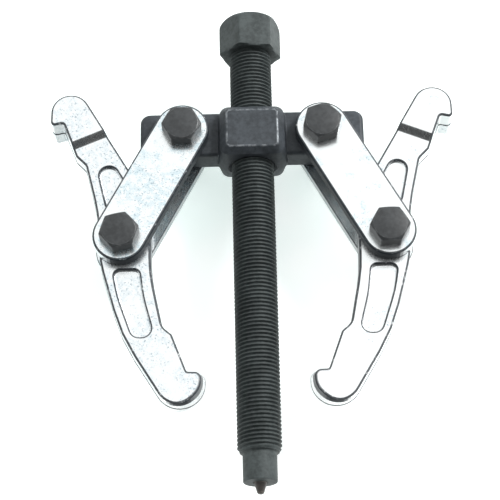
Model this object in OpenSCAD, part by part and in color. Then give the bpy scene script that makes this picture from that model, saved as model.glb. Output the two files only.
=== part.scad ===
// Two-jaw reversible gear puller, lying flat with its screw along Y.
// +Y runs from the point of the screw to its head, +X is to the right, +Z is up.
// The origin is the middle of the yoke, where the screw axis crosses the centre line of the arms.

/* [Yoke] */
// Distance between the two upper bolts
bolt_spread = 52.6; // [48:0.2:60]
// Length of the yoke over its two arms
yoke_len = 84.4; // [80:0.2:96]
// Width of an arm, along the screw
arm_w = 18; // [14:0.5:20]
// Thickness of an arm, and of a jaw below its upper hook
web_t = 11.4; // [10:0.1:14]
// Radius of the corners of an arm
arm_round = 3.8; // [2:0.1:5]
// Radius along the edges of an arm
arm_edge = 1.6; // [0.5:0.1:2.5]
// Boss size across the arms
boss_x = 27; // [25:0.5:30]
// Boss size along the screw
boss_y = 22.5; // [20:0.5:28]
// Boss size through the arms
boss_z = 25; // [24:0.5:30]
// Radius of the four corners of the boss
boss_corner = 4; // [2:0.25:5]
// Flat face of the boss, across the arms
boss_face_x = 19; // [17:0.5:22]
// Flat face of the boss, along the screw
boss_face_y = 15; // [13:0.5:18]
// Height of the bevel round the flat face
boss_bevel = 2.5; // [1:0.25:4]
// Taper of the walls of the boss, from its middle to the bevel
boss_draft = 1.4; // [0.5:0.1:2]
// Distance of the middle of the boss from the line of the arms, towards the point
boss_low = 1; // [0:0.1:2]

/* [Forcing screw] */
// Major diameter of the thread
screw_d = 16; // [14:0.5:18]
// Pitch of the thread
screw_pitch = 1.5; // [1:0.25:2]
// Length of the threaded shank
thread_len = 158.1; // [140:0.1:180]
// Gap between the boss and the underside of the head as stored
head_gap = 24.95; // [24.05:0.05:40]
// Width across the flats of the head
head_af = 21; // [19:1:24]
// Height of the head
head_h = 15.5; // [12:0.5:18]
// Radius of the flat circle on top of the head
head_top_r = 7.8; // [7:0.1:10.4]
// Height of the rounded shoulder of the head
head_crown = 5; // [1:0.1:6]
// Turn of the head about the screw axis
head_turn = 9.7; // [0:0.1:30]
// Diameter of the plain dog end
dog_d = 12.3; // [10:0.1:13]
// Length of the dog end, with its cone
dog_len = 10.8; // [9:0.1:14]
// Diameter of the centre point where it leaves the dog end
point_d = 4.8; // [4:0.1:6]
// Length of the cone of the centre point
point_len = 4.2; // [3:0.1:6]
// Diameter of the blunt tip of the centre point
point_tip_d = 2.6; // [1:0.1:3]
// Depth that the centre point's shank sits in the dog end
point_seat = 8; // [6:0.5:9]

/* [Links] */
// Distance between the two bolts of a link
link_len = 48.4; // [44:0.2:56]
// Angle of a link to the screw axis as stored
link_angle = 28.4; // [22:0.1:34]
// Width of a strap
strap_w = 20; // [19:0.5:22]
// Thickness of a strap
strap_t = 5; // [4:0.25:6]
// Gap between a strap and the flat piece beside it
side_gap = 0.1; // [0.05:0.05:0.2]

/* [Jaws] */
// Thickness of the upper hook of a jaw
hook_t = 16; // [14:0.5:18]
// Distance from the pivot at which the jaw starts to thicken towards the upper hook
ramp_start = 40.7; // [40:0.1:42]
// Distance from the pivot at which the upper hook is full thickness
ramp_end = 43.9; // [43:0.1:46]
// Lean of the jaw's upper hook from the screw axis
jaw_lean = 22.7; // [20:0.1:25]
// Depth of the recess on each face of a jaw
pocket_depth = 1.5; // [0.5:0.1:3]

/* [Fasteners] */
// Diameter of the pivot bolts
bolt_d = 8; // [8:0.5:8]
// Length of a pivot bolt under its head
bolt_len = 35; // [34:1:40]
// Width across the flats of the bolt heads and nuts
hex_af = 13; // [12:0.5:14]
// Height of a bolt head
bolt_head_h = 5.3; // [4:0.1:6]
// Height of a nut
nut_h = 6.5; // [6:0.1:7]
// Outer diameter of a lock washer
washer_d = 14.8; // [14:0.2:16]
// Thickness of a lock washer
washer_t = 2; // [1.6:0.1:2.2]
// Width of the split in a lock washer
washer_split = 1; // [0.5:0.1:2]
// Radial clearance of a bolt or screw in its bore
running_gap = 0.05; // [0.02:0.01:0.1]

/* [Hidden] */

// Sides of a full circle
$fn = 72;
// Largest turn of one chord in a rounded corner
arc_step = 10;
// Extra length of a cutting shape past the face it cuts
past = 1;
// Angle of a chamfer on a bolt head or nut
hex_chamfer = 30;
// Chamfer at the ends of a threaded bolt
end_chamfer = 0.8;
// Chamfer at the end of the dog
dog_chamfer = 0.4;
// Chamfer at the two mouths of the yoke's bore
mouth_chamfer = 1.5;
// Radius of a hexagon's chamfered face, as a part of its width across flats
hex_face = 0.475;
// Clearance behind the shank of the centre point
seat_gap = 0.05;
// Turn of each bolt head about its own axis
left_upper_turn = -1;
left_lower_turn = 12;
right_upper_turn = 16;
right_lower_turn = 1;
// Turn of a nut and of a washer's split from the head above it
nut_turn = 20;
split_turn = 65;

bolt_bore_r = bolt_d / 2 + running_gap;
// Radius at the root of the screw's thread
root_r = screw_d / 2 - 0.6134 * screw_pitch;
strap_inner = web_t / 2 + side_gap;
strap_outer = strap_inner + strap_t;
upper_pivot = [bolt_spread / 2, 0];
lower_pivot = upper_pivot + link_len * [sin(link_angle), -cos(link_angle)];
head_seat_y = boss_y / 2 - boss_low + head_gap;
thread_end_y = head_seat_y - thread_len;
dog_end_y = thread_end_y - dog_len;

// Corners of the right jaw's outline about its pivot: x, y and the radius of the corner.
JAW_CORNERS = [
    [21.9, 47.2, 1.0],     // throat of the upper hook
    [26.8, 46, 1.8],       // toe of the upper hook
    [26.5, 80, 7.6],       // crown of the upper hook
    [-11.3, 14.3, 14],     // back of the jaw, above the pivot
    [-11.2, -13, 60],      // back of the jaw, below the pivot
    [-15.4, -34, 5],       // foot of the lower step
    [-18.9, -37, 1.4],     // head of the lower step
    [-24, -50.7, 1.0],     // throat of the lower hook
    [-30.5, -50.7, 3.0],   // toe of the lower hook
    [-30.5, -87.3, 9.2],   // heel of the lower hook
    [0.1, -37, 70],        // outer edge
    [7.9, -8.5, 40],       // waist
    [8.9, 11.1, 60],       // waist
    [13.4, 30.4, 3],       // foot of the upper step
    [17.1, 34.2, 1.4]      // head of the upper step
];
UPPER_POCKET = [[-7, 12.6, 2.5], [5.2, 12.6, 2.5], [13.6, 50.6, 3.6]];
LOWER_POCKET = [
    [-6.9, -11.6, 2.5], [-8.2, -22.5, 50], [-12.3, -38, 3.5],
    [-4.5, -38, 3.5], [1, -22, 50], [2.9, -11.6, 2.5]
];

function unit(v) = v / norm(v);
function heading(v) = atan2(v.y, v.x);
function wrapped(angle) = angle > 180 ? angle - 360 : angle < -180 ? angle + 360 : angle;

// Points of the arc of radius r that rounds corner b between its neighbours a and c.
function corner_arc(a, b, c, r) =
    let (
        to_a = unit(a - b),
        to_c = unit(c - b),
        half = acos(to_a * to_c) / 2,
        centre = b + unit(to_a + to_c) * r / sin(half),
        from = heading(b + to_a * r / tan(half) - centre),
        to = heading(b + to_c * r / tan(half) - centre),
        sweep = wrapped(to - from),
        steps = max(2, ceil(abs(sweep) / arc_step))
    )
    [for (i = [0:steps]) centre + r * [cos(from + sweep * i / steps), sin(from + sweep * i / steps)]];

// Outline through a closed list of corners, each one [x, y, radius].
function rounded(corners) =
    let (n = len(corners), at = [for (c = corners) [c.x, c.y]])
    [for (i = [0:n - 1]) each corner_arc(at[(i + n - 1) % n], at[i], at[(i + 1) % n], corners[i][2])];

// Outline of a bar with round ends of radius r about points a and b.
function round_bar(a, b, r) =
    let (along = heading(b - a))
    [
        for (t = [90:arc_step:270]) a + r * [cos(along + t), sin(along + t)],
        for (t = [-90:arc_step:90]) b + r * [cos(along + t), sin(along + t)]
    ];

module rounded_rect(w, h, r) {
    square([w - 2 * r, h], center = true);
    square([w, h - 2 * r], center = true);
    for (x = [-1, 1], y = [-1, 1])
        translate([x * (w / 2 - r), y * (h / 2 - r)])
            circle(r);
}

// The two arms of the yoke as one bar with round edges.
module arms() {
    intersection() {
        linear_extrude(web_t, center = true)
            rounded_rect(yoke_len, arm_w, arm_round);
        rotate([90, 0, 0])
            linear_extrude(arm_w + past, center = true)
                rounded_rect(yoke_len, web_t, arm_edge);
        rotate([90, 0, 90])
            linear_extrude(yoke_len + past, center = true)
                rounded_rect(arm_w, web_t, arm_edge);
    }
}

// Section of the boss: widest in the middle, tapered, then bevelled up to its flat faces.
function boss_section(wide, face) =
    let (shoulder = [wide / 2 - boss_draft, boss_z / 2 - boss_bevel], rim = [face, boss_z] / 2)
    [
        [wide / 2, 0], shoulder, rim, [-rim.x, rim.y], [-shoulder.x, shoulder.y],
        [-wide / 2, 0], -shoulder, -rim, [rim.x, -rim.y], [shoulder.x, -shoulder.y]
    ];

module boss() {
    intersection() {
        linear_extrude(boss_z, center = true)
            rounded_rect(boss_x, boss_y, boss_corner);
        rotate([90, 0, 0])
            linear_extrude(boss_y + past, center = true)
                polygon(boss_section(boss_x, boss_face_x));
        rotate([90, 0, 90])
            linear_extrude(boss_x + past, center = true)
                polygon(boss_section(boss_y, boss_face_y));
    }
}

// The screw's bore through the boss, with a chamfer at each mouth.
module screw_bore() {
    bore_r = screw_d / 2 + running_gap;
    reach = boss_y / 2;
    turned([
        [0, -reach - past], [bore_r + mouth_chamfer + past, -reach - past],
        [bore_r, mouth_chamfer - reach], [bore_r, reach - mouth_chamfer],
        [bore_r + mouth_chamfer + past, reach + past], [0, reach + past]
    ]);
}

// Solid of revolution about Y from [radius, y] corners.
module turned(profile) {
    rotate([90, 0, 0])
        mirror([0, 0, 1])
            rotate_extrude()
                polygon(profile);
}

// Hexagonal prism standing on z = 0, with corners on X, chamfered on top and on request below.
module hex_body(af, h, both_ends) {
    face_r = af * hex_face;
    wide_r = face_r + h / tan(hex_chamfer);
    intersection() {
        cylinder(r = af / sqrt(3), h = h, $fn = 6);
        cylinder(r1 = wide_r, r2 = face_r, h = h);
        cylinder(r1 = both_ends ? face_r : wide_r, r2 = wide_r, h = h);
    }
}

module yoke() {
    color("#3a3d42")
        difference() {
            union() {
                arms();
                translate([0, -boss_low])
                    boss();
            }
            translate([0, -boss_low])
                screw_bore();
            for (side = [-1, 1])
                translate([side * upper_pivot.x, 0])
                    cylinder(r = bolt_bore_r, h = web_t + 2 * past, center = true);
        }
}

module forcing_screw() {
    r = screw_d / 2;
    dog_r = dog_d / 2;
    seat_r = point_d / 2 + running_gap;
    seat_y = dog_end_y + point_seat + seat_gap;
    color("#34373c")
        difference() {
            union() {
                turned([
                    [0, head_seat_y + past], [r, head_seat_y + past],
                    [r, thread_end_y + screw_pitch], [root_r, thread_end_y],
                    [dog_r, thread_end_y - root_r + dog_r],
                    [dog_r, dog_end_y + dog_chamfer], [dog_r - dog_chamfer, dog_end_y], [0, dog_end_y]
                ]);
                screw_head();
            }
            turned([
                [0, dog_end_y - past], [seat_r, dog_end_y - past], [seat_r, seat_y], [0, seat_y]
            ]);
        }
}

// Hexagonal head with a crowned shoulder; one corner lies head_turn below +X.
module screw_head() {
    corner_r = head_af / sqrt(3);
    shoulder_y = head_seat_y + head_h - head_crown;
    intersection() {
        translate([0, head_seat_y])
            rotate([-90, 0, 0])
                rotate(head_turn)
                    cylinder(r = corner_r, h = head_h, $fn = 6);
        turned([
            [0, head_seat_y], [corner_r + past, head_seat_y], [corner_r + past, shoulder_y - past],
            for (a = [0:arc_step:90])
                [
                    head_top_r + (corner_r - head_top_r) * cos(a),
                    shoulder_y + head_crown * sin(a)
                ],
            [0, head_seat_y + head_h]
        ]);
    }
}

module centre_point() {
    r = point_d / 2;
    tip_r = point_tip_d / 2;
    tip_y = dog_end_y - point_len;
    color("#26292d")
        turned([
            [0, dog_end_y + point_seat], [r, dog_end_y + point_seat], [r, dog_end_y],
            [tip_r, tip_y + tip_r / 2], [tip_r / 2, tip_y], [0, tip_y]
        ]);
}

// Right-hand strap lying on z = 0; the left one is its mirror image.
module strap() {
    difference() {
        linear_extrude(strap_t)
            polygon(round_bar(upper_pivot, lower_pivot, strap_w / 2));
        for (pivot = [upper_pivot, lower_pivot])
            translate([pivot.x, pivot.y, -past])
                cylinder(r = bolt_bore_r, h = strap_t + 2 * past);
    }
}

module front_strap() {
    color("#d8dde0")
        translate([0, 0, strap_inner])
            strap();
}

module rear_strap() {
    color("#d8dde0")
        translate([0, 0, -strap_outer])
            strap();
}

// Upper half of the jaw's side profile: [distance along the jaw from the pivot, half thickness].
JAW_SIDE = [
    [-2 * link_len, web_t / 2], [ramp_start, web_t / 2],
    [ramp_end, hook_t / 2], [2 * link_len, hook_t / 2]
];

// Block with the jaw's side profile and its length along Y.
module jaw_envelope() {
    rotate([90, 0, 90])
        linear_extrude(3 * link_len, center = true)
            polygon([
                for (p = JAW_SIDE) p,
                for (i = [len(JAW_SIDE) - 1:-1:0]) [JAW_SIDE[i].x, -JAW_SIDE[i].y]
            ]);
}

// Right-hand jaw: one outline, with its upper hook thicker than the rest.
module jaw() {
    color("#dfe4e6")
        translate(lower_pivot)
            difference() {
                intersection() {
                    linear_extrude(hook_t, center = true)
                        polygon(rounded(JAW_CORNERS));
                    rotate(-jaw_lean)
                        jaw_envelope();
                }
                cylinder(r = bolt_bore_r, h = hook_t, center = true);
                for (face = [-1, 1], pocket = [UPPER_POCKET, LOWER_POCKET])
                    translate([0, 0, face * (web_t + past - pocket_depth) / 2])
                        linear_extrude(pocket_depth + past, center = true)
                            polygon(rounded(pocket));
            }
}

module bolt(pivot, turn) {
    color("#33363b")
        translate([pivot.x, pivot.y, strap_outer]) {
            rotate(turn)
                hex_body(hex_af, bolt_head_h, false);
            rotate_extrude()
                polygon([
                    [0, past], [bolt_d / 2, past], [bolt_d / 2, end_chamfer - bolt_len],
                    [bolt_d / 2 - end_chamfer, -bolt_len], [0, -bolt_len]
                ]);
        }
}

module lock_washer(pivot, turn) {
    color("#2c2f33")
        translate([pivot.x, pivot.y, -strap_outer - washer_t])
            rotate(turn + split_turn)
                difference() {
                    cylinder(d = washer_d, h = washer_t);
                    translate([0, 0, -past])
                        cylinder(r = bolt_bore_r, h = washer_t + 2 * past);
                    translate([0, -washer_split / 2, -past])
                        cube([washer_d, washer_split, washer_t + 2 * past]);
                }
}

module nut(pivot, turn) {
    color("#33363b")
        translate([pivot.x, pivot.y, -strap_outer - washer_t - nut_h])
            rotate(turn + nut_turn)
                difference() {
                    hex_body(hex_af, nut_h, true);
                    translate([0, 0, -past])
                        cylinder(r = bolt_bore_r, h = nut_h + 2 * past);
                }
}

function left(pivot) = [-pivot.x, pivot.y];

yoke();
forcing_screw();
centre_point();
mirror([1, 0, 0]) front_strap();  // left_front_strap
mirror([1, 0, 0]) rear_strap();  // left_rear_strap
front_strap();  // right_front_strap
rear_strap();  // right_rear_strap
mirror([1, 0, 0]) jaw();  // left_jaw
jaw();  // right_jaw
bolt(left(upper_pivot), left_upper_turn);  // left_upper_bolt
bolt(left(lower_pivot), left_lower_turn);  // left_lower_bolt
bolt(upper_pivot, right_upper_turn);  // right_upper_bolt
bolt(lower_pivot, right_lower_turn);  // right_lower_bolt
lock_washer(left(upper_pivot), left_upper_turn);  // left_upper_washer
lock_washer(left(lower_pivot), left_lower_turn);  // left_lower_washer
lock_washer(upper_pivot, right_upper_turn);  // right_upper_washer
lock_washer(lower_pivot, right_lower_turn);  // right_lower_washer
nut(left(upper_pivot), left_upper_turn);  // left_upper_nut
nut(left(lower_pivot), left_lower_turn);  // left_lower_nut
nut(upper_pivot, right_upper_turn);  // right_upper_nut
nut(lower_pivot, right_lower_turn);  // right_lower_nut
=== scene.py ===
"""Two-jaw reversible gear puller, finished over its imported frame.

Every length is in metres and every place is in the frame's own axes: +Y runs from the point of the
forcing screw to its head, +X is to the right, +Z is up, and the origin is the middle of the yoke.
"""

import logging
import math
from collections.abc import Callable, Iterable, Mapping, Sequence
from dataclasses import dataclass
from enum import Enum
from functools import cache
from typing import Any

import bmesh
import bpy
from bmesh.types import BMEdge, BMesh, BMFace, BMVert
from bpy.types import Material, Mesh, NodeSocket, NodeTree, Object
from mathutils import Matrix, Vector


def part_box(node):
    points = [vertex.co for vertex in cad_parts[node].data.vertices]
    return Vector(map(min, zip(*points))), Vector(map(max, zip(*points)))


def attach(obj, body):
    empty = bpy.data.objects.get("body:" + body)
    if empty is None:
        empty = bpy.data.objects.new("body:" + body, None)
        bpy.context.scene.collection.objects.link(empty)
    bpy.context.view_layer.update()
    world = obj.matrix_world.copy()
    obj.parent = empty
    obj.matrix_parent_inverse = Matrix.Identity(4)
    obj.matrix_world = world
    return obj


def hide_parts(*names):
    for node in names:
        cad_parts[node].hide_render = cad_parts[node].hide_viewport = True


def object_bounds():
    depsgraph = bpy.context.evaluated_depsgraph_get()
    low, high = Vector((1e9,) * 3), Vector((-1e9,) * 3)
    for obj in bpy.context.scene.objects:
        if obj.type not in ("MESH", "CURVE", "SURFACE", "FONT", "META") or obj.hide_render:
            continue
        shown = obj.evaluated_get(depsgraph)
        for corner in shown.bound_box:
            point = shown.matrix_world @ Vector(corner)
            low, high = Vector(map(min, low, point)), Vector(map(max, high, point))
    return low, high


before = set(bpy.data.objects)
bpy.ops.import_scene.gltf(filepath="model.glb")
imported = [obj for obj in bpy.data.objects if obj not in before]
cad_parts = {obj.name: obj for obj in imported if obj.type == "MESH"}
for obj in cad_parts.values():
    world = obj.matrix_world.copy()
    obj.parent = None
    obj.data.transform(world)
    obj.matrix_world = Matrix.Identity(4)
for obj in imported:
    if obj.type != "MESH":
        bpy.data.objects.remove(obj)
CAD_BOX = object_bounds()

LOG = logging.getLogger("gear_puller")
MM = 0.001
WELD = 1e-7  # points nearer than this are one point
SHORT_EDGE = 0.12 * MM  # an outline keeps no edge shorter than this
LEAST_ROUND = 0.05 * MM  # radius left on a corner that an offset would sharpen
THREAD_DEPTH = 0.6134  # depth of a metric thread in pitches
END_SLOPE = math.tan(math.radians(30))  # chamfer on the corners of a bolt's head or a nut
Corner = tuple[float, float, float]
Colour = tuple[float, float, float]


class Side(Enum):
    """Which arm of the puller a piece belongs to."""

    LEFT = -1
    RIGHT = 1

    @property
    def word(self) -> str:
        """Name used in the frame's nodes and bodies."""
        return self.name.lower()


class Slot(Enum):
    """Material slots of the record."""

    FORGED_BLACK = "forged_black"
    SCREW_BLACK = "screw_black"
    POINT_STEEL = "point_steel"
    ZINC_STRAP = "zinc_strap"
    ZINC_FORGING = "zinc_forging"
    BOLT_BLACK = "bolt_black"
    WASHER_STEEL = "washer_steel"


# --- shop tools ---


def plane_corner(before: Corner, here: Corner, after: Corner) -> tuple[Vector, Vector, float]:
    """Works out the round of one corner of an outline.

    Args:
        before: The corner before it, with x, y and radius.
        here: The corner itself.
        after: The corner after it.

    Returns:
        The start of the arc, its centre, and its signed sweep.
    """
    at = Vector((here[0], here[1], 0))
    to_a = (Vector((before[0], before[1], 0)) - at).normalized()
    to_c = (Vector((after[0], after[1], 0)) - at).normalized()
    half = to_a.angle(to_c) / 2
    run = here[2] / math.tan(half)
    centre = at + (to_a + to_c).normalized() * (here[2] / math.sin(half))
    start, end = at + to_a * run, at + to_c * run
    sweep = (start - centre).angle(end - centre)
    turn = (at - Vector((before[0], before[1], 0))).cross(Vector((after[0], after[1], 0)) - at).z
    return start, centre, math.copysign(sweep, turn)


def grown(corners: Sequence[Corner], by: float) -> list[Corner]:
    """Offsets an anticlockwise outline outwards.

    Args:
        corners: x, y and radius of each corner.
        by: Distance outwards, or inwards if it is negative.

    Returns:
        The corners of the outline at that distance.
    """
    out: list[Corner] = []
    for i, (x, y, r) in enumerate(corners):
        at = Vector((x, y))
        to_a = (Vector(corners[i - 1][:2]) - at).normalized()
        to_c = (Vector(corners[(i + 1) % len(corners)][:2]) - at).normalized()
        half = to_a.angle(to_c) / 2
        convex = to_c.cross(to_a) > 0
        shift = (to_a + to_c).normalized() * (by / math.sin(half)) * (-1 if convex else 1)
        out.append((x + shift.x, y + shift.y, max(r + (by if convex else -by), LEAST_ROUND)))
    return out


class Blank:
    """A mesh on the bench, with the shop operations that the pieces need."""

    def __init__(self) -> None:
        """Starts with no metal at all."""
        self.bm: BMesh = bmesh.new()

    @property
    def metal(self) -> list[BMVert | BMEdge | BMFace]:
        """Everything on the bench."""
        return [*self.bm.verts, *self.bm.edges, *self.bm.faces]

    def outline(self, corners: Sequence[Corner], arc_step: float = 9.0) -> BMFace:
        """Draws one flat face round a list of rounded corners.

        Args:
            corners: x, y and radius of each corner, anticlockwise.
            arc_step: Largest turn of one chord, in degrees.

        Returns:
            The face, looking up.
        """
        ring: list[BMVert] = []
        count = len(corners)
        for i, here in enumerate(corners):
            start, centre, sweep = plane_corner(corners[i - 1], here, corners[(i + 1) % count])
            steps = max(2, math.ceil(abs(math.degrees(sweep)) / arc_step))
            ring += self.arc(start, centre, sweep, steps)
        bmesh.ops.remove_doubles(self.bm, verts=ring, dist=SHORT_EDGE)
        face = self.bm.faces.new([v for v in ring if v.is_valid])
        face.normal_update()
        return face

    def close(self) -> BMFace:
        """Caps the one opening that is left, and returns the cap."""
        rim = [e for e in self.bm.edges if e.is_boundary]
        return bmesh.ops.contextual_create(self.bm, geom=rim)["faces"][0]

    def arc(self, start: Vector, centre: Vector, sweep: float, steps: int) -> list[BMVert]:
        """Spins one point about a centre in the XY plane.

        Args:
            start: First point of the arc.
            centre: Centre of the arc.
            sweep: Signed angle in radians.
            steps: Number of chords.

        Returns:
            The points in order.
        """
        first = self.bm.verts.new(start)
        bmesh.ops.spin(self.bm, geom=[first], cent=centre, axis=(0, 0, 1), angle=sweep, steps=steps)
        self.bm.verts.ensure_lookup_table()
        return list(self.bm.verts)[-(steps + 1):]

    def step(self, face: BMFace, inward: float, rise: float) -> None:
        """Raises a face along its normal and draws its rim inwards, which leaves a wall round it.

        Args:
            face: The face to raise.
            inward: How far its rim moves in.
            rise: How far the face moves along its normal.
        """
        bmesh.ops.inset_region(
            self.bm, faces=[face], thickness=max(inward, 1e-8), depth=rise,
            use_boundary=True, use_even_offset=True,
        )

    def round_over(self, face: BMFace, radius: float, steps: int = 4, hollow: bool = False) -> None:
        """Raises a face through a quarter round.

        Args:
            face: The face to raise.
            radius: Radius of the round.
            steps: Number of chords.
            hollow: Starts flat and ends steep, in place of the other way round.
        """
        for i in range(steps):
            a, b = (math.radians(90 * k / steps) for k in (i, i + 1))
            inward, rise = radius * (math.cos(a) - math.cos(b)), radius * (math.sin(b) - math.sin(a))
            self.step(face, *((rise, inward) if hollow else (inward, rise)))

    def mirror_down(self) -> None:
        """Adds the lower half, which mirrors the upper one, and welds the two."""
        bmesh.ops.mirror(self.bm, geom=self.metal, matrix=Matrix.Identity(4), merge_dist=WELD, axis="Z")
        bmesh.ops.remove_doubles(self.bm, verts=self.bm.verts, dist=WELD)
        bmesh.ops.recalc_face_normals(self.bm, faces=self.bm.faces)

    def lathe(self, profile: Iterable[tuple[float, float]], steps: int = 72) -> None:
        """Turns a profile about the Z axis.

        Args:
            profile: Radius and height of each point, from one end to the other.
            steps: Number of divisions round the axis.
        """
        row = [self.bm.verts.new((r, 0, z)) for r, z in profile]
        edges = [self.bm.edges.new(pair) for pair in zip(row, row[1:])]
        bmesh.ops.spin(
            self.bm, geom=[*row, *edges], cent=(0, 0, 0), axis=(0, 0, 1),
            angle=2 * math.pi, steps=steps, use_merge=True,
        )
        bmesh.ops.remove_doubles(self.bm, verts=self.bm.verts, dist=WELD)
        bmesh.ops.recalc_face_normals(self.bm, faces=self.bm.faces)

    def helix(self, crest: float, pitch: float, low: float, high: float, steps: int = 48) -> None:
        """Cuts a right-hand thread about the Z axis, closed at both ends.

        Args:
            crest: Radius of the crest.
            pitch: Rise in one turn.
            low: Height of the lower end.
            high: Height of the upper end.
            steps: Number of divisions in one turn.
        """
        root = crest - THREAD_DEPTH * pitch
        tooth = [(root, 0.0), (root, 0.25), (crest, 0.5625), (crest, 0.6875), (root, 1.0)]
        row = [self.bm.verts.new((r, 0, low + (z - 1) * pitch)) for r, z in tooth]
        edges = [self.bm.edges.new(pair) for pair in zip(row, row[1:])]
        bmesh.ops.spin(
            self.bm, geom=[*row, *edges], cent=(0, 0, 0), axis=(0, 0, 1), dvec=(0, 0, pitch / steps),
            angle=2 * math.pi, steps=steps,
        )
        made = 1
        while made < (high - low) / pitch + 1:
            copy = bmesh.ops.duplicate(self.bm, geom=self.metal)["geom"]
            lifted = [v for v in copy if isinstance(v, BMVert)]
            bmesh.ops.translate(self.bm, verts=lifted, vec=(0, 0, made * pitch))
            made *= 2
        bmesh.ops.remove_doubles(self.bm, verts=self.bm.verts, dist=WELD)
        for height, normal in ((low, -1), (high, 1)):
            cut = bmesh.ops.bisect_plane(
                self.bm, geom=self.metal, dist=WELD,
                plane_co=(0, 0, height), plane_no=(0, 0, normal), clear_outer=True,
            )
            rim = [e for e in cut["geom_cut"] if isinstance(e, BMEdge)]
            bmesh.ops.contextual_create(self.bm, geom=rim)
        bmesh.ops.recalc_face_normals(self.bm, faces=self.bm.faces)

    def radial(self, limit: Callable[[float, float], float], soft: float = 0.0) -> None:
        """Draws points in towards the Z axis where they stand outside a limit.

        Args:
            limit: Gives the largest radius from an angle and a height.
            soft: Width over which the two shapes melt into each other.
        """
        for v in self.bm.verts:
            r = math.hypot(v.co.x, v.co.y)
            if r < WELD:
                continue
            most = limit(math.atan2(v.co.y, v.co.x), v.co.z)
            gap = max(soft - abs(r - most), 0.0)
            new = min(r, most) - (gap * gap / (4 * soft) if soft else 0.0)
            v.co.x *= new / r
            v.co.y *= new / r

    def place(self, matrix: Matrix) -> "Blank":
        """Moves, turns or mirrors the whole blank.

        Args:
            matrix: The move to make.

        Returns:
            The same blank.
        """
        bmesh.ops.transform(self.bm, matrix=matrix, verts=self.bm.verts)
        if matrix.to_3x3().determinant() < 0:
            bmesh.ops.reverse_faces(self.bm, faces=self.bm.faces)
        return self

    def join(self, other: "Blank") -> "Blank":
        """Adds another blank's metal to this one.

        Args:
            other: The blank that is used up.

        Returns:
            This blank.
        """
        spare = other.to_mesh("spare")
        self.bm.from_mesh(spare)
        bpy.data.meshes.remove(spare)
        return self

    def to_mesh(self, name: str) -> Mesh:
        """Writes the blank out as a mesh and clears the bench."""
        mesh = bpy.data.meshes.new(name)
        self.bm.to_mesh(mesh)
        self.bm.free()
        return mesh

    def to_object(self, name: str) -> Object:
        """Writes the blank out as an object in the scene."""
        obj = bpy.data.objects.new(name, self.to_mesh(name))
        bpy.context.scene.collection.objects.link(obj)
        return obj


def bake_modifiers(obj: Object) -> None:
    """Replaces an object's mesh by the one that its modifiers give."""
    evaluated = obj.evaluated_get(bpy.context.evaluated_depsgraph_get())
    old, new = obj.data, bpy.data.meshes.new_from_object(evaluated)
    obj.modifiers.clear()
    obj.data = new
    new.name = obj.name
    bpy.data.meshes.remove(old)


def combine(obj: Object, operation: str, others: Sequence[Object]) -> None:
    """Joins or cuts an object with others, which are used up.

    Args:
        obj: The object that is kept.
        operation: UNION or DIFFERENCE.
        others: The objects that it is joined to or cut by.
    """
    for other in others:
        mod = obj.modifiers.new(other.name, "BOOLEAN")
        mod.operation, mod.solver, mod.object = operation, "EXACT", other
    bake_modifiers(obj)
    for other in others:
        mesh = other.data
        bpy.data.objects.remove(other)
        bpy.data.meshes.remove(mesh)


def mark_wear_and_painted_shade(mesh: Mesh, sharp_angle: float) -> None:
    """Shades a mesh smoothly, keeps its hard edges, and marks its rims and its darkened walls.

    Args:
        mesh: The mesh, which gains two face attributes: edge, which is 1 on a narrow convex rim, and
            wall, which grows on an upright face that looks towards the screw or its point and holds painted
            shade.
        sharp_angle: Turn past which an edge stays hard, in degrees.
    """
    narrow, hook_drop, upper_z, hook_x = 0.45 * MM, 30 * MM, 2.6 * MM, 60 * MM
    bm = bmesh.new()
    bm.from_mesh(mesh)
    rim, wall = (bm.faces.layers.float.new(name) for name in ("edge", "wall"))
    for f in bm.faces:
        f.smooth = True
    for e in bm.edges:
        e.smooth = len(e.link_faces) == 2 and e.calc_face_angle(0.0) < math.radians(sharp_angle)
    hook_y = middle("left_lower_bolt").y - hook_drop
    for f in bm.faces:
        area = f.calc_area()
        bends = [
            math.degrees(e.calc_face_angle_signed(0.0)) for e in f.edges
            if len(e.link_faces) == 2 and area < narrow * e.calc_length()
        ]
        # edge marks narrow convex rims: blackened steel wears bright there, and zinc takes painted shade
        # there.
        f[rim] = min(max((max(bends, default=0.0) - 12) / 4, 0.0), 1.0)
        # wall is painted shade standing for shadow and dark reflections on upright faces that look inwards
        # and to the front: full above upper_z, faint low on the lower hook, middling elsewhere, and 0.3
        # wherever the face lies more than hook_x out.
        at, way = f.calc_center_median(), f.normal
        inward = 0.8 * math.copysign(way.x, -at.x * way.x) - 0.6 * way.y
        upright = min(max((0.6 - abs(way.z)) / 0.4, 0.0), 1.0)
        depth = 1.0 if at.z > upper_z else 0.1 if at.y < hook_y else 0.45
        if abs(at.x) > hook_x:
            depth = 0.3
        f[wall] = depth * upright * min(max(inward / 0.35, 0.0), 1.0)
    bm.to_mesh(mesh)
    bm.free()


# --- shader tools ---


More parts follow.
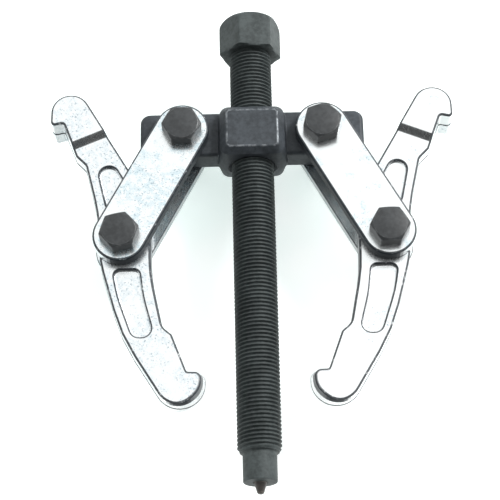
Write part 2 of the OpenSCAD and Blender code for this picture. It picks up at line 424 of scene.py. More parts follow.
class Sock:
    """An output socket that takes part in Python arithmetic by adding Math nodes."""

    def __init__(self, bench: "NodeBench", socket: NodeSocket) -> None:
        """Wraps one socket of one material."""
        self.bench, self.socket = bench, socket

    def __add__(self, other: "Value") -> "Sock":
        """Sum."""
        return self.bench.maths("ADD", self, other)

    __radd__ = __add__

    def __mul__(self, other: "Value") -> "Sock":
        """Product."""
        return self.bench.maths("MULTIPLY", self, other)

    __rmul__ = __mul__

    def __sub__(self, other: "Value") -> "Sock":
        """Difference."""
        return self.bench.maths("SUBTRACT", self, other)

    def __rsub__(self, other: "Value") -> "Sock":
        """Difference the other way round."""
        return self.bench.maths("SUBTRACT", other, self)

    def part(self, low: float, high: float) -> "Sock":
        """Maps low to 0 and high to 1, smoothly and within 0 to 1."""
        return self.bench.add(
            "MapRange", {"interpolation_type": "SMOOTHSTEP"},
            {"Value": self, "From Min": low, "From Max": high, "To Min": 0.0, "To Max": 1.0},
        )

    def clipped(self) -> "Sock":
        """The value held within 0 to 1."""
        return self.bench.add("Math", {"operation": "ADD", "use_clamp": True}, {0: self, 1: 0.0})


Value = float | Sock


class NodeBench:
    """Builds the nodes of one material."""

    def __init__(self, name: str, tree: NodeTree | None = None) -> None:
        """Starts a material with no nodes, or clears a tree that is there."""
        if tree is None:
            self.material = bpy.data.materials.new(name)
            self.material.use_nodes = True
            tree = self.material.node_tree
        self.tree = tree
        self.tree.nodes.clear()

    def add(
        self, kind: str, settings: Mapping[str, Any] | None = None,
        inputs: Mapping[str | int, Any] | None = None, out: str | int = 0,
    ) -> Sock:
        """Adds a node.

        Args:
            kind: Type of the node, after ShaderNode.
            settings: Its own settings, which are set first.
            inputs: A value or a link for each named or numbered socket.
            out: The output socket that is returned.

        Returns:
            That output socket, or the first input of a node that has no outputs.
        """
        node = self.tree.nodes.new(f"ShaderNode{kind}")
        for key, value in (settings or {}).items():
            setattr(node, key, value)
        for key, value in (inputs or {}).items():
            socket = node.inputs[key]
            if isinstance(value, Sock):
                self.tree.links.new(value.socket, socket)
            else:
                socket.default_value = value
        return Sock(self, node.outputs[out] if node.outputs else node.inputs[0])

    def maths(self, operation: str, a: Value, b: Value) -> Sock:
        """Adds a Math node."""
        return self.add("Math", {"operation": operation}, {0: a, 1: b})

    def mix(self, factor: Value, a: Any, b: Any) -> Sock:
        """Adds a colour Mix node, which is a where the factor is 0 and b where it is 1."""
        return self.add(
            "Mix", {"data_type": "RGBA"},
            {0: factor, **{6 + i: c if isinstance(c, Sock) else (*c, 1) for i, c in enumerate((a, b))}}, 2,
        )

    def place(self, scale: tuple[float, float, float] = (1, 1, 1)) -> Sock:
        """Object coordinates in millimetres, stretched by a scale."""
        where = self.add("TexCoord", out="Object")
        return self.add(
            "Mapping", {"vector_type": "POINT"},
            {"Vector": where, "Scale": tuple(1000 * s for s in scale)},
        )

    def noise(self, where: Sock, scale: float, detail: float = 2.0, rough: float = 0.5) -> Sock:
        """Adds a Noise node with so many lumps to the millimetre."""
        return self.add(
            "TexNoise", {"noise_dimensions": "3D"},
            {"Vector": where, "Scale": scale, "Detail": detail, "Roughness": rough},
        )

    def mark(self, name: str) -> Sock:
        """One of the piece's own attributes: edge or wall."""
        return self.add("Attribute", {"attribute_type": "GEOMETRY", "attribute_name": name}, out="Fac")

    def bump(self, height: Sock, strength: float, distance: float, normal: Sock | None = None) -> Sock:
        """Adds a Bump node."""
        inputs: dict[str | int, Any] = {"Height": height, "Strength": strength, "Distance": distance}
        if normal:
            inputs["Normal"] = normal
        return self.add("Bump", None, inputs)

    def surface(self, **sockets: Any) -> Material:
        """Adds the surface shader and the output.

        Args:
            **sockets: Values and links, named as the shader's sockets with _ for a space.

        Returns:
            The finished material.
        """
        shader = self.add("BsdfPrincipled", None, {k.replace("_", " "): v for k, v in sockets.items()})
        self.add("OutputMaterial", None, {"Surface": shader})
        return self.material


@dataclass(frozen=True)
class BlackFinish:
    """Blackened steel: dark and satin, with a fine grain and rubbed edges."""

    deep: Colour
    worn: Colour
    roughness: float
    grain: float
    grain_height: float
    rub: float
    sheen: float = 0.5

    def material(self, name: str) -> Material:
        """Builds the finish under its name."""
        n = NodeBench(name)
        where = n.place()
        cloud = n.noise(where, 0.16, 3, 0.6)
        grain = n.noise(where, self.grain, 4, 0.65)
        rubbed = (n.mark("edge") * n.noise(where, 0.45, 3, 0.6).part(0.38, 0.66) * self.rub).clipped()
        body = n.mix(
            (cloud * 0.5 + n.noise(where, 0.7, 4, 0.6) * 0.5).part(0.36, 0.64),
            tuple(c * 0.8 for c in self.deep), tuple(c * 1.4 for c in self.deep),
        )
        return n.surface(
            Base_Color=n.mix(rubbed, body, self.worn),
            Roughness=(cloud * 0.06 + grain * 0.08 + (self.roughness - 0.07) - rubbed * 0.08).clipped(),
            Metallic=rubbed,
            Specular_IOR_Level=self.sheen,
            Normal=n.bump(grain + cloud * 0.4, 0.5, self.grain_height),
        )


@dataclass(frozen=True)
class ZincFinish:
    """Bright zinc plate: near white, with a mottle of small dull spots."""

    bright: Colour
    dull: Colour
    roughness: float
    spot_scale: float
    spot: float
    wave: float
    haze: float = 0.7
    # shade, line and shadow set the painted shade: its strength on marked walls, its strength on marked rims,
    # and the dark colour it fades to.
    shade: float = 0.97
    line: float = 0.92
    shadow: Colour = (0.022, 0.027, 0.034)
    speck: Colour = (0.24, 0.32, 0.38)

    def material(self, name: str) -> Material:
        """Builds the finish under its name."""
        n = NodeBench(name)
        where = n.place()
        spots = n.noise(where, self.spot_scale, 3, 0.6)
        mottle = n.noise(where, 0.11, 4, 0.62)
        rub = n.noise(n.place((1, 0.18, 1)), 1.4, 3, 0.6)
        wave = n.noise(where, 0.09, 2, 0.5)
        side = (0 - n.add("SeparateXYZ", None, {0: where}, "X")).part(-40, 30)
        cloud = (mottle + side * 0.12 - 0.06).part(0.44, 0.6)
        haze = cloud * n.noise(where, 0.5, 4, 0.65).part(0.4, 0.62) * self.haze
        specks = cloud * spots.part(0.56, 0.66) * self.spot
        plate = n.mix(specks.clipped(), n.mix(haze.clipped(), self.bright, self.dull), self.speck)
        ragged = n.noise(where, 0.6, 3, 0.6).part(0.15, 0.42)
        # Painted shade: marked walls and ragged marked rims fade to the shadow colour and lose their metal,
        # standing for shadow and dark reflections.
        dark = (n.mark("wall") * self.shade + n.mark("edge") * ragged * self.line).clipped()
        return n.surface(
            Base_Color=n.mix(dark, plate, self.shadow),
            Roughness=(rub * 0.1 + specks * 0.1 + dark * 0.2 + (self.roughness - 0.05)).clipped(),
            Metallic=1 - dark,
            Specular_IOR_Level=0.06,
            Normal=n.bump(spots * 0.5 + rub * 0.15, 0.5, 0.04 * MM, n.bump(wave, 0.8, self.wave)),
        )


FINISHES: dict[Slot, BlackFinish | ZincFinish] = {
    Slot.FORGED_BLACK: BlackFinish(
        deep=(0.042, 0.048, 0.055), worn=(0.36, 0.38, 0.40), roughness=0.50,
        grain=1.4, grain_height=0.05 * MM, rub=0.55, sheen=0.3,
    ),
    Slot.SCREW_BLACK: BlackFinish(
        deep=(0.056, 0.065, 0.065), worn=(0.20, 0.22, 0.22), roughness=0.52,
        grain=2.2, grain_height=0.02 * MM, rub=0.0, sheen=0.16,
    ),
    Slot.POINT_STEEL: BlackFinish(
        deep=(0.050, 0.042, 0.038), worn=(0.30, 0.27, 0.24), roughness=0.40,
        grain=2.0, grain_height=0.02 * MM, rub=0.35,
    ),
    Slot.BOLT_BLACK: BlackFinish(
        deep=(0.036, 0.038, 0.040), worn=(0.30, 0.31, 0.31), roughness=0.42,
        grain=2.4, grain_height=0.03 * MM, rub=0.5, sheen=0.4,
    ),
    Slot.WASHER_STEEL: BlackFinish(
        deep=(0.040, 0.043, 0.048), worn=(0.42, 0.43, 0.45), roughness=0.36,
        grain=2.4, grain_height=0.02 * MM, rub=0.5,
    ),
    Slot.ZINC_STRAP: ZincFinish(
        bright=(0.93, 0.945, 0.95), dull=(0.62, 0.76, 0.82), roughness=0.24,
        spot_scale=1.5, spot=0.8, wave=0.04 * MM,
    ),
    Slot.ZINC_FORGING: ZincFinish(
        bright=(0.93, 0.94, 0.945), dull=(0.66, 0.74, 0.79), roughness=0.26,
        spot_scale=1.2, spot=0.8, wave=0.08 * MM, haze=0.5,
    ),
}


@cache
def finish(slot: Slot) -> Material:
    """Makes a finish the first time that it is asked for."""
    return FINISHES[slot].material(slot.value)


def deliver(obj: Object, slot: Slot, body: str, node: str, sharp_angle: float = 32.0) -> None:
    """Finishes a piece: shading, finish, body and the node that it stands for.

    Args:
        obj: The piece, with its place in its mesh.
        slot: Its material slot.
        body: The body that it rides on.
        node: The frame's node that it replaces.
        sharp_angle: Turn past which an edge stays hard, in degrees.
    """
    mark_wear_and_painted_shade(obj.data, sharp_angle)
    mod = obj.modifiers.new("even_light", "WEIGHTED_NORMAL")
    mod.keep_sharp = True
    bake_modifiers(obj)
    obj.data.materials.clear()
    obj.data.materials.append(finish(slot))
    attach(obj, body)
    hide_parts(node)
    LOG.info("%s: %d faces on %s", obj.name, len(obj.data.polygons), body)


def hexagon(across: float, round_r: float) -> Callable[[float, float], float]:
    """Radius of a hexagon with slightly rounded corners, one of them on +X.

    Args:
        across: Width across the flats.
        round_r: Radius of a corner.

    Returns:
        A limit for Blank.radial.
    """
    flat = across / 2
    core = (flat - round_r) / math.cos(math.pi / 6)
    reach = math.atan2(round_r / 2, core + round_r * math.cos(math.pi / 6))

    def limit(angle: float, _: float) -> float:
        """Radius at an angle."""
        off = abs((angle + math.pi / 6) % (math.pi / 3) - math.pi / 6)
        if off < reach:
            return core * math.cos(off) + math.sqrt(round_r**2 - (core * math.sin(off)) ** 2)
        return flat / math.cos(math.pi / 6 - off)

    return limit


def middle(node: str) -> Vector:
    """Middle of a node's box."""
    low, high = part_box(node)
    return (low + high) / 2


# --- the puller ---


@dataclass
class Yoke:
    """Forged cross-piece: a threaded boss between two flat arms."""

    arm: tuple[float, float, float] = (84.4 * MM, 18 * MM, 11.4 * MM)
    boss: tuple[float, float, float] = (27 * MM, 22.5 * MM, 25 * MM)
    boss_face: tuple[float, float] = (19 * MM, 15 * MM)
    boss_bevel: float = 2.5 * MM
    boss_draft: float = 1.4 * MM
    boss_corner: float = 4 * MM
    boss_lip: float = 0.4 * MM
    boss_low: float = 1 * MM
    arm_round: float = 3.8 * MM
    arm_edge: float = 1.6 * MM
    bore_r: float = 8.05 * MM
    mouth: float = 1.5 * MM
    pivot_x: float = 26.3 * MM
    pivot_r: float = 4.05 * MM
    fillet: float = 0.4 * MM

    def build(self) -> None:
        """Builds, cuts and delivers the yoke."""
        yoke = self.arms().to_object("yoke_forging")
        boss = self.raised_boss().place(Matrix.Translation((0, -self.boss_low, 0)))
        combine(yoke, "UNION", [boss.to_object("boss")])
        self.soften(yoke)
        combine(yoke, "DIFFERENCE", [self.bore().to_object("bore"), *self.pivot_holes()])
        deliver(yoke, Slot.FORGED_BLACK, "yoke", "yoke")

    def arms(self) -> Blank:
        """Makes the bar of both arms, round at its ends and along its edges."""
        blank = Blank()
        bm = blank.bm
        bmesh.ops.create_cube(bm, size=1.0, matrix=Matrix.Diagonal((*self.arm, 1)))
        upright = [e for e in bm.edges if abs((e.verts[0].co - e.verts[1].co).z) > WELD]
        bmesh.ops.bevel(
            bm, geom=upright, offset=self.arm_round, offset_type="OFFSET", affect="EDGES",
            segments=8, profile=0.5, material=-1,
        )
        rims = [e for e in bm.edges if e.calc_face_angle(0.0) > math.radians(60)]
        bmesh.ops.bevel(
            bm, geom=rims, offset=self.arm_edge, offset_type="OFFSET", affect="EDGES",
            segments=9, profile=0.5, material=-1,
        )
        return blank

    def raised_boss(self) -> Blank:
        """Makes the boss: tapered walls, a bevel all round and a flat face above and below."""
        half_x, half_y, half_z = (size / 2 for size in self.boss)
        flat_x, flat_y = (size / 2 for size in self.boss_face)
        lip, draft, corner = self.boss_lip, self.boss_draft, self.boss_corner
        tiers = (
            (0.0, half_x, half_y, corner),
            (half_z - self.boss_bevel, half_x - draft, half_y - draft, corner * 0.85),
            (half_z - lip * 0.5, flat_x + lip, flat_y + lip, corner * 0.35),
            (half_z, flat_x, flat_y, corner * 0.3),
            (half_z, flat_x - lip, flat_y - lip, corner * 0.25),
        )
        blank = Blank()
        ways = ((1, -1), (1, 1), (-1, 1), (-1, -1))
        face = blank.outline([(x * half_x, y * half_y, corner) for x, y in ways])
        for (_, old_x, old_y, old_r), (height, new_x, new_y, new_r) in zip(tiers, tiers[1:]):
            blank.step(face, 0, height - face.verts[0].co.z)
            for v in face.verts:
                x_sign, y_sign = math.copysign(1, v.co.x), math.copysign(1, v.co.y)
                v.co.x = x_sign * (new_x - new_r) + (v.co.x - x_sign * (old_x - old_r)) * new_r / old_r
                v.co.y = y_sign * (new_y - new_r) + (v.co.y - y_sign * (old_y - old_r)) * new_r / old_r
        blank.mirror_down()
        return blank

    def soften(self, yoke: Object) -> None:
        """Rounds the inner corners where the arms run into the boss."""
        mod = yoke.modifiers.new("fillet", "BEVEL")
        mod.limit_method, mod.angle_limit = "ANGLE", math.radians(50)
        mod.width, mod.segments, mod.use_clamp_overlap = self.fillet, 4, False
        bake_modifiers(yoke)

    def bore(self) -> Blank:
        """The screw's bore with a chamfer at each mouth, along Y."""
        reach = self.boss[1] / 2
        wide = self.bore_r + self.mouth + MM
        blank = Blank()
        blank.lathe([
            (0, -reach - MM), (wide, -reach - MM), (self.bore_r, -reach + self.mouth),
            (self.bore_r, reach - self.mouth), (wide, reach + MM), (0, reach + MM),
        ])
        return blank.place(Matrix.Translation((0, -self.boss_low, 0)) @ Matrix.Rotation(-math.pi / 2, 4, "X"))

    def pivot_holes(self) -> list[Object]:
        """Cutters for the two pivot holes."""
        return [drill(Vector((side.value * self.pivot_x, 0, 0)), self.pivot_r, self.arm[2]) for side in Side]


def drill(at: Vector, radius: float, depth: float) -> Object:
    """Makes a cutter for an upright hole.

    Args:
        at: Middle of the hole.
        radius: Its radius.
        depth: Thickness that it goes through.

    Returns:
        The cutter.
    """
    blank = Blank()
    reach = depth / 2 + MM
    blank.lathe([(0, -reach), (radius, -reach), (radius, reach), (0, reach)], 48)
    return blank.place(Matrix.Translation(at)).to_object("drill")


@dataclass
class ForcingScrew:
    """Threaded screw with a crowned hexagon head, a plain dog end and a set-in centre point."""

    crest: float = 8 * MM
    pitch: float = 1.5 * MM
    across: float = 21 * MM
    head_h: float = 15.5 * MM
    top_r: float = 7.8 * MM
    crown: float = 5 * MM
    head_turn: float = 9.7
    dog_r: float = 6.15 * MM
    dog_len: float = 10.8 * MM
    point_r: float = 2.4 * MM
    tip_r: float = 1.3 * MM
    point_len: float = 4.2 * MM
    point_seat: float = 8 * MM

    def __post_init__(self) -> None:
        """Reads the two ends from the frame."""
        low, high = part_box("forcing_screw")
        self.top: float = high.y
        self.seat: float = high.y - self.head_h
        self.dog_end: float = low.y
        self.thread_end: float = low.y + self.dog_len
        self.root: float = self.crest - THREAD_DEPTH * self.pitch

    def build(self) -> None:
        """Builds and delivers the screw and its point."""
        lay = Matrix.Rotation(-math.pi / 2, 4, "X")
        screw = self.thread().join(self.head()).join(self.dog()).place(lay).to_object("forcing_screw_turned")
        deliver(screw, Slot.SCREW_BLACK, "forcing_screw", "forcing_screw", 38)
        point = self.point().place(lay).to_object("centre_point_cone")
        deliver(point, Slot.POINT_STEEL, "centre_point", "centre_point")

    def thread(self) -> Blank:
        """The threaded shank, with its end chamfered down to the root."""
        blank = Blank()
        blank.helix(self.crest, self.pitch, self.thread_end, self.seat + 0.5 * MM)
        slope = (self.crest - self.root) / self.pitch
        blank.radial(lambda _, z: self.root + max(z - self.thread_end, 0.0) * slope)
        return blank

    def head(self) -> Blank:
        """The hexagon head: flats below, a round shoulder and a flat top."""
        corner = self.across / math.sqrt(3)
        wide = corner + 0.2 * MM
        over = wide - self.top_r
        shoulder = self.top - self.crown
        blank = Blank()
        sweep = [math.radians(a) for a in range(0, 91, 6)]
        blank.lathe([
            (0, self.seat), (9.6 * MM, self.seat), (10.3 * MM, self.seat + 0.15 * MM),
            (wide, self.seat + 0.7 * MM), (wide, self.seat + 2 * MM), (wide, shoulder - 3 * MM),
            *((self.top_r + over * math.cos(a), shoulder + self.crown * math.sin(a)) for a in sweep),
            (self.top_r * 0.93, self.top), (0, self.top),
        ], 240)
        blank.radial(hexagon(self.across, 0.9 * MM), 0.5 * MM)
        return blank.place(Matrix.Rotation(math.radians(self.head_turn), 4, "Z"))

    def dog(self) -> Blank:
        """The plain end, with a hollow fillet up to the thread and a chamfered face."""
        sweep = [math.radians(a) for a in range(0, 91, 15)]
        fall = self.root - self.dog_r
        edge = 0.45 * MM
        hole_r = self.point_r + 0.1 * MM
        floor = self.dog_end + self.point_seat
        blank = Blank()
        blank.lathe([
            (0, self.thread_end + MM), (self.root, self.thread_end + MM), (self.root, self.thread_end),
            *(
                (self.dog_r + fall * (1 - math.sin(a)), self.thread_end - fall * (1 - math.cos(a)))
                for a in sweep
            ),
            (self.dog_r, self.dog_end + edge), (self.dog_r - edge * 0.3, self.dog_end + edge * 0.3),
            (self.dog_r - edge, self.dog_end), (self.point_r + 0.25 * MM, self.dog_end),
            (hole_r, self.dog_end + 0.2 * MM), (hole_r, floor), (0, floor),
        ], 96)
        return blank

    def point(self) -> Blank:
        """The centre point: a short cone with a blunt round tip, on a shank in the dog."""
        tip = self.dog_end - self.point_len
        back = self.dog_end + self.point_seat - 0.1 * MM
        sweep = [math.radians(a) for a in range(0, 91, 15)]
        blank = Blank()
        blank.lathe([
            (0, back), (self.point_r, back), (self.point_r, self.dog_end + 0.4 * MM),
            (self.point_r, self.dog_end), (self.point_r - 0.15 * MM, self.dog_end - 0.3 * MM),
            *((self.tip_r * math.cos(a), tip + self.tip_r * 0.6 * (1 - math.sin(a))) for a in sweep),
        ], 64)
        return blank


@dataclass
class Strap:
    """Flat link with round ends, blanked from bright plated strip."""

    side: Side
    layer: str
    half_w: float = 10 * MM
    thick: float = 5 * MM
    rolled_r: float = 0.75 * MM
    burr_r: float = 0.3 * MM
    hole_r: float = 4.05 * MM

    def build(self) -> None:
        """Builds and delivers the strap."""
        node = f"{self.side.word}_{self.layer}_strap"
        low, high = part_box(node)
        pivots = [middle(f"{self.side.word}_{end}_bolt") for end in ("upper", "lower")]
        top, bottom = (Vector((p.x, p.y, 0)) for p in pivots)
        along = (bottom - top).normalized()
        across = Vector((-along.y, along.x, 0)) * self.half_w
        blank = Blank()
        ring = [
            *blank.arc(top + across, top, math.pi, 24),
            *blank.arc(bottom - across, bottom, math.pi, 24),
        ]
        face = blank.bm.faces.new(ring)
        face.normal_update()
        self.thicken(blank, face)
        lift = Vector((0, 0, (low.z + high.z) / 2))
        outward = Matrix.Diagonal((1, 1, 1 if self.layer == "front" else -1, 1))
        strap = blank.place(Matrix.Translation(lift) @ outward).to_object(f"{node}_plate")
        combine(strap, "DIFFERENCE", [drill(p + lift, self.hole_r, self.thick) for p in (top, bottom)])
        deliver(strap, Slot.ZINC_STRAP, f"{self.side.word}_links", node)

    def thicken(self, blank: Blank, face: BMFace) -> None:
        """Raises the outline to a plate about z = 0, softer on its upper rim."""
        upper = self.thick / 2
        blank.step(face, 0, upper - self.rolled_r)
        blank.round_over(face, self.rolled_r)
        under = blank.close()
        under.normal_update()
        if under.normal.z > 0:
            under.normal_flip()
        blank.step(under, 0, upper - self.burr_r)
        blank.round_over(under, self.burr_r, 3)
        bmesh.ops.recalc_face_normals(blank.bm, faces=blank.bm.faces)


# Outlines in millimetres about the jaw's pivot, for the right jaw.
JAW_CORNERS: tuple[Corner, ...] = (
    (21.9, 47.2, 1.0), (26.8, 46, 1.8), (26.5, 80, 7.6), (-11.3, 14.3, 14), (-11.2, -13, 60),
    (-15.4, -34, 5), (-18.9, -37, 1.4), (-24, -50.7, 1.0), (-30.5, -50.7, 3.0), (-30.5, -87.3, 9.2),
    (0.1, -37, 70), (7.9, -8.5, 40), (8.9, 11.1, 60), (13.4, 30.4, 3), (17.1, 34.2, 1.4),
)
UPPER_POCKET: tuple[Corner, ...] = ((-7, 12.6, 2.5), (5.2, 12.6, 2.5), (13.6, 50.6, 3.6))
LOWER_POCKET: tuple[Corner, ...] = (
    (-6.9, -11.6, 2.5), (-8.2, -22.5, 50), (-12.3, -38, 3.5),
    (-4.5, -38, 3.5), (1, -22, 50), (2.9, -11.6, 2.5),
)


def in_metres(corners: Sequence[Corner]) -> list[Corner]:
    """Turns an outline in millimetres into metres."""
    return [(x * MM, y * MM, r * MM) for x, y, r in corners]


@dataclass
class Jaw:
    """Plated drop forging with a hook at each end, the upper one thicker, and four pockets."""

    side: Side
    hook_half: float = 8 * MM
    web_half: float = 5.7 * MM
    ramp: tuple[float, float] = (40.7 * MM, 43.9 * MM)
    ramp_cuts: tuple[float, ...] = (-0.05, 0.15, 0.5, 0.85, 1.05)
    lean: float = 22.7
    land: float = 0.3 * MM
    flash: float = 0.1 * MM
    flash_rise: float = 0.08 * MM
    draft: float = 0.15 * MM
    wall_parts: tuple[float, float] = (0.55, 0.45)
    rim: float = 0.75 * MM
    nose_draft: float = 1.4 * MM
    nose: Corner = (-21.3 * MM, -54.6 * MM, 9.2 * MM)
    nose_way: tuple[float, float] = (-0.96, -0.28)
    pocket_depth: float = 1.5 * MM
    pocket_rim: float = 0.55 * MM
    pocket_root: float = 0.6 * MM
    pocket_draft: float = 0.1 * MM
    over: float = 0.5 * MM
    hole_r: float = 4.05 * MM

    def build(self) -> None:
        """Builds and delivers the jaw."""
        node = f"{self.side.word}_jaw"
        pivot = middle(f"{self.side.word}_lower_bolt")
        jaw = self.forging().to_object(f"{node}_forging")
        hole = drill(Vector((0, 0, 0)), self.hole_r, 2 * self.hook_half)
        combine(jaw, "DIFFERENCE", [*self.pocket_cutters(), hole])
        blank, old = Blank(), jaw.data
        blank.bm.from_mesh(old)
        blank.place(Matrix.Translation((pivot.x, pivot.y, 0)) @ Matrix.Diagonal((self.side.value, 1, 1, 1)))
        jaw.data = blank.to_mesh(jaw.name)
        bpy.data.meshes.remove(old)
        deliver(jaw, Slot.ZINC_FORGING, f"{self.side.word}_jaw", node)

    def lean_in(self, point: Vector) -> Vector:
        """How far a point of the lower hook's nose leans in, which grows with its height."""
        x, y, reach = self.nose
        way = Vector((point.x - x, point.y - y))
        near = min(max((1.9 * reach - way.length) / (0.7 * reach), 0.0), 1.0)
        way.normalize()
        facing = min(max(way.dot(Vector(self.nose_way)), 0.0) * 1.2, 1.0)
        return way * (-self.nose_draft * near * facing**1.5 * (point.z / self.hook_half) ** 1.3)

    def half_thickness(self, reach: float) -> float:
        """Half the thickness at a reach from the pivot, with soft bends at the ramp's two ends."""
        start, end = self.ramp
        t = min(max((reach - start) / (end - start), 0.0), 1.0)
        return self.web_half + (self.hook_half - self.web_half) * (0.25 * t * t * (3 - 2 * t) + 0.75 * t)

    def forging(self) -> Blank:
        """The forging about its own pivot: drafted walls from a thin flash line, and two ramps."""
        blank = Blank()
        face = blank.outline(in_metres(JAW_CORNERS))
        blank.step(face, 0, self.land)
        blank.step(face, self.flash, self.flash_rise)
        wall = self.hook_half - self.land - self.flash_rise - self.rim
        for part in self.wall_parts:
            blank.step(face, self.draft * part, wall * part)
        blank.round_over(face, self.rim)
        lean = math.radians(self.lean)
        normal = Vector((math.sin(lean), math.cos(lean), 0))
        start, end = self.ramp
        for part in self.ramp_cuts:
            bmesh.ops.bisect_plane(
                blank.bm, geom=blank.metal, dist=WELD,
                plane_co=normal * (start + part * (end - start)), plane_no=normal,
            )
        for v in blank.bm.verts:
            if v.co.z > self.land + 0.1 * MM:
                v.co.xy += self.lean_in(v.co)
                v.co.z *= self.half_thickness(normal.xy.dot(v.co.xy)) / self.hook_half
        blank.mirror_down()
        return blank

    def pocket_cutters(self) -> list[Object]:
        """Cutters for the pockets, flared at the rim and round at the root."""
        cutters: list[Object] = []
        for index, corners in enumerate((UPPER_POCKET, LOWER_POCKET)):
            for face_side in (-1, 1):
                blank = Blank()
                wide = grown(in_metres(corners), self.pocket_rim)
                face = blank.outline(wide, 12)
                face.normal_flip()
                face.normal_update()
                bmesh.ops.translate(blank.bm, verts=blank.bm.verts, vec=(0, 0, self.web_half + self.over))
                blank.step(face, 0, self.over)
                blank.round_over(face, self.pocket_rim, hollow=True)
                blank.step(face, self.pocket_draft, self.pocket_depth - self.pocket_rim - self.pocket_root)
                blank.round_over(face, self.pocket_root)
                blank.close()
                bmesh.ops.recalc_face_normals(blank.bm, faces=blank.bm.faces)
                blank.place(Matrix.Diagonal((1, 1, face_side, 1)))
                cutters.append(blank.to_object(f"pocket_{index}_{face_side}"))
        return cutters


# How far each bolt's head is turned, in degrees.
BOLT_TURNS: dict[str, float] = {"left_upper": -1, "left_lower": 12, "right_upper": 16, "right_lower": 1}


@dataclass
class PivotSet:
    """Hexagon bolt with its split washer and its nut."""

    side: Side
    end: str
    shank_r: float = 4 * MM
    pitch: float = 1.25 * MM
    across: float = 13 * MM
    wide: float = 0.58 * 13 * MM
    corner_r: float = 0.35 * MM
    head_h: float = 5.3 * MM
    face_r: float = 0.475 * 13 * MM
    plain: float = 21 * MM
    length: float = 35 * MM
    nut_turn: float = 20
    nut_mouth: float = 0.7 * MM
    washer_r: float = 7.4 * MM
    split_turn: float = 65
    split: float = 1 * MM

    def build(self) -> None:
        """Builds and delivers the three pieces."""
        name = f"{self.side.word}_{self.end}"
        at = middle(f"{name}_bolt")
        self.at = Vector((at.x, at.y, 0))
        self.turn = BOLT_TURNS[name]
        bolt = self.bolt(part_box(f"{name}_bolt")[1].z)
        washer = self.washer(*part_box(f"{name}_washer"))
        nut = self.nut(*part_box(f"{name}_nut"))
        body = f"{self.side.word}_links"
        deliver(bolt.to_object(f"{name}_bolt_m8"), Slot.BOLT_BLACK, body, f"{name}_bolt", 38)
        deliver(washer.to_object(f"{name}_washer_ring"), Slot.WASHER_STEEL, body, f"{name}_washer")
        deliver(nut.to_object(f"{name}_nut_m8"), Slot.BOLT_BLACK, body, f"{name}_nut")

    def chamfered(self, steps: int) -> list[float]:
        """Radii across the chamfer on the hexagon's corners."""
        return [self.face_r + (self.wide - self.face_r) * k / steps for k in range(steps + 1)]

    def turned_to(self, blank: Blank, degrees: float) -> Blank:
        """Turns a piece about the pivot and puts it in place."""
        return blank.place(Matrix.Translation(self.at) @ Matrix.Rotation(math.radians(degrees), 4, "Z"))

    def bolt(self, top: float) -> Blank:
        """The bolt, from its chamfered head down to its threaded end."""
        seat = top - self.head_h
        head = Blank()
        head.lathe([
            (0, top), (self.face_r - 0.12 * MM, top),
            *((r, top - 0.04 * MM - (r - self.face_r) * END_SLOPE) for r in self.chamfered(8)),
            (self.wide, seat + 1.4 * MM), (self.wide, seat + 0.45 * MM),
            (self.wide - 0.25 * MM, seat + 0.1 * MM), (self.across * 0.49, seat), (0, seat),
        ], 240)
        head.radial(hexagon(self.across, self.corner_r), 0.18 * MM)
        shank_end = seat - self.plain
        shank = Blank()
        ends = (seat + MM, shank_end)
        shank.lathe([(0, ends[0]), *((self.shank_r, z) for z in ends), (0, ends[1])], 48)
        thread = Blank()
        low = seat - self.length
        thread.helix(self.shank_r, self.pitch, low, shank_end + 0.3 * MM, 36)
        root = self.shank_r - THREAD_DEPTH * self.pitch
        thread.radial(lambda _, z: root + max(z - low, 0.0))
        return self.turned_to(head.join(shank).join(thread), self.turn)

    def washer(self, low: Vector, high: Vector) -> Blank:
        """The split spring washer, of trapezium section."""
        inner, outer = self.shank_r + 0.1 * MM, self.washer_r
        gap = math.asin(self.split / 2 / (outer - MM))
        soft = 0.2 * MM
        blank = Blank()
        ring = [
            (inner, low.z + soft), (inner + soft, low.z), (outer - soft, low.z), (outer, low.z + soft),
            (outer, high.z - soft), (outer - soft, high.z), (inner + soft, high.z), (inner, high.z - soft),
        ]
        section = [blank.bm.verts.new((r, 0, z)) for r, z in ring]
        start = blank.bm.faces.new(section)
        bmesh.ops.rotate(blank.bm, verts=section, cent=(0, 0, 0), matrix=Matrix.Rotation(gap, 3, "Z"))
        bmesh.ops.spin(
            blank.bm, geom=[start], cent=(0, 0, 0), axis=(0, 0, 1),
            angle=2 * (math.pi - gap), steps=64, use_duplicate=False,
        )
        bmesh.ops.recalc_face_normals(blank.bm, faces=blank.bm.faces)
        return self.turned_to(blank, self.turn + self.split_turn)

    def nut(self, low: Vector, high: Vector) -> Blank:
        """The nut, chamfered at both ends, with the mouth of its thread."""
        bore, mouth = self.shank_r + 0.05 * MM, self.nut_mouth
        falls = [(r, (r - self.face_r) * END_SLOPE) for r in self.chamfered(6)]
        blank = Blank()
        blank.lathe([
            (bore, low.z + mouth), (bore + mouth, low.z), *((r, low.z + fall) for r, fall in falls),
            *((r, high.z - fall) for r, fall in reversed(falls)), (bore + mouth, high.z),
            (bore, high.z - mouth), (bore, low.z + mouth),
        ], 240)
        blank.radial(hexagon(self.across, self.corner_r), 0.15 * MM)
        return self.turned_to(blank, self.turn + self.nut_turn)


# --- the studio ---


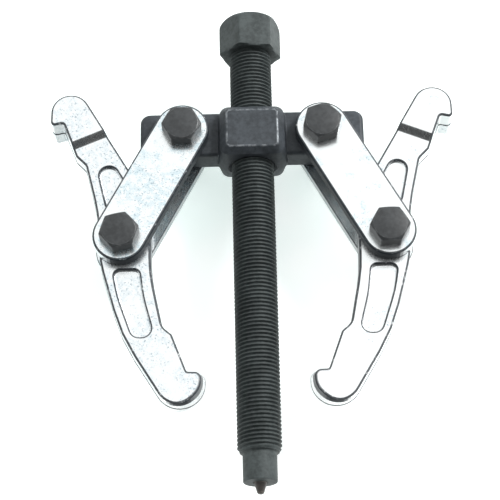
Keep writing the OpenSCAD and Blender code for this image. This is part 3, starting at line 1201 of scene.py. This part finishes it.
@dataclass
class Studio:
    """White bench, soft lights and the camera."""

    target: tuple[float, float, float] = (-0.0018, -0.0454, 0.0)
    distance: float = 0.6303
    elevation: float = 67.56
    roll: float = -1.33
    lens: float = 122.6
    sky: float = 1.1
    window_at: tuple[float, float, float] = (0.75, 0.45, 0.85)
    window_size: float = 0.35
    window_power: float = 12.0

    def build(self) -> None:
        """Sets up the bench, the lights and the camera."""
        self.bench()
        self.window()
        self.room()
        self.camera()
        bpy.context.scene.view_settings.view_transform = "Standard"

    def bench(self) -> None:
        """The pale surface that the puller lies on."""
        bm = bmesh.new()
        bmesh.ops.create_grid(bm, x_segments=1, y_segments=1, size=1.6)
        bmesh.ops.translate(bm, verts=bm.verts, vec=(0, 0, CAD_BOX[0].z))
        mesh = bpy.data.meshes.new("bench")
        bm.to_mesh(mesh)
        bm.free()
        bench = bpy.data.objects.new("bench", mesh)
        bpy.context.scene.collection.objects.link(bench)
        n = NodeBench("bench_white")
        where = n.place()
        reach = n.add("VectorMath", {"operation": "LENGTH"}, {0: where}, "Value")
        # Painted shade: within about 70 to 150 mm of the middle, the floor's glow turns dimmer and greener in
        # soft patches, standing for the pale shadows round the puller.
        painted_floor_shade = (1 - reach.part(70, 150)) * n.noise(where, 0.018, 2, 0.5).part(0.35, 0.65)
        plain = n.noise(where, 0.05, 3, 0.5).part(0.3, 0.7)
        mesh.materials.append(n.surface(
            Base_Color=n.mix(plain, (0.74, 0.77, 0.76), (0.77, 0.79, 0.78)),
            Roughness=0.75,
            Emission_Color=n.mix(painted_floor_shade, (0.97, 1.0, 0.99), (0.84, 0.96, 0.93)),
            Emission_Strength=0.66,
        ))

    def window(self) -> None:
        """One soft square light from the right, which faces the middle of the yoke."""
        data = bpy.data.lights.new("window", "AREA")
        data.shape, data.size, data.energy = "SQUARE", self.window_size, self.window_power
        light = bpy.data.objects.new("window", data)
        light.location = self.window_at
        light.rotation_euler = (-Vector(self.window_at)).to_track_quat("-Z", "Y").to_euler()
        bpy.context.scene.collection.objects.link(light)

    def room(self) -> None:
        """A wide soft sky that is dark low down in front."""
        world = bpy.data.worlds.new("room")
        bpy.context.scene.world = world
        world.use_nodes = True
        n = NodeBench("room", world.node_tree)
        way = n.add("SeparateXYZ", None, {0: n.add("TexCoord", out="Generated")})
        across, height = (Sock(n, way.socket.node.outputs[k]) for k in ("Y", "Z"))
        front = (0 - across).part(0.15, 0.45)
        low = 1 - height.part(0.05, 0.4)
        light = (1 - front * 0.96) * (1 - low * 0.35)
        shade = n.add(
            "Background", None, {"Color": (0.97, 1.0, 1.0, 1), "Strength": light * self.sky},
        )
        n.add("OutputWorld", None, {"Surface": shade})

    def camera(self) -> None:
        """Places the camera from its elevation, its distance and its roll."""
        rise = math.radians(self.elevation)
        back = Vector((0, -math.cos(rise), math.sin(rise)))
        right = Matrix.Rotation(math.radians(self.roll), 3, back) @ Vector((1, 0, 0))
        up = back.cross(right)
        data = bpy.data.cameras.new("camera")
        data.lens, data.sensor_width = self.lens, 36.0
        camera = bpy.data.objects.new("camera", data)
        place = Matrix((right, up, back)).transposed().to_4x4()
        place.translation = Vector(self.target) + back * self.distance
        camera.matrix_world = place
        bpy.context.scene.collection.objects.link(camera)
        bpy.context.scene.camera = camera


def main() -> None:
    """Builds the studio and every sub-assembly in order."""
    logging.basicConfig(level=logging.INFO, format="%(name)s: %(message)s")
    Studio().build()
    Yoke().build()
    ForcingScrew().build()
    for side in Side:
        for layer in ("front", "rear"):
            Strap(side, layer).build()
        Jaw(side).build()
        for end in ("upper", "lower"):
            PivotSet(side, end).build()


if __name__ == "__main__":
    main()
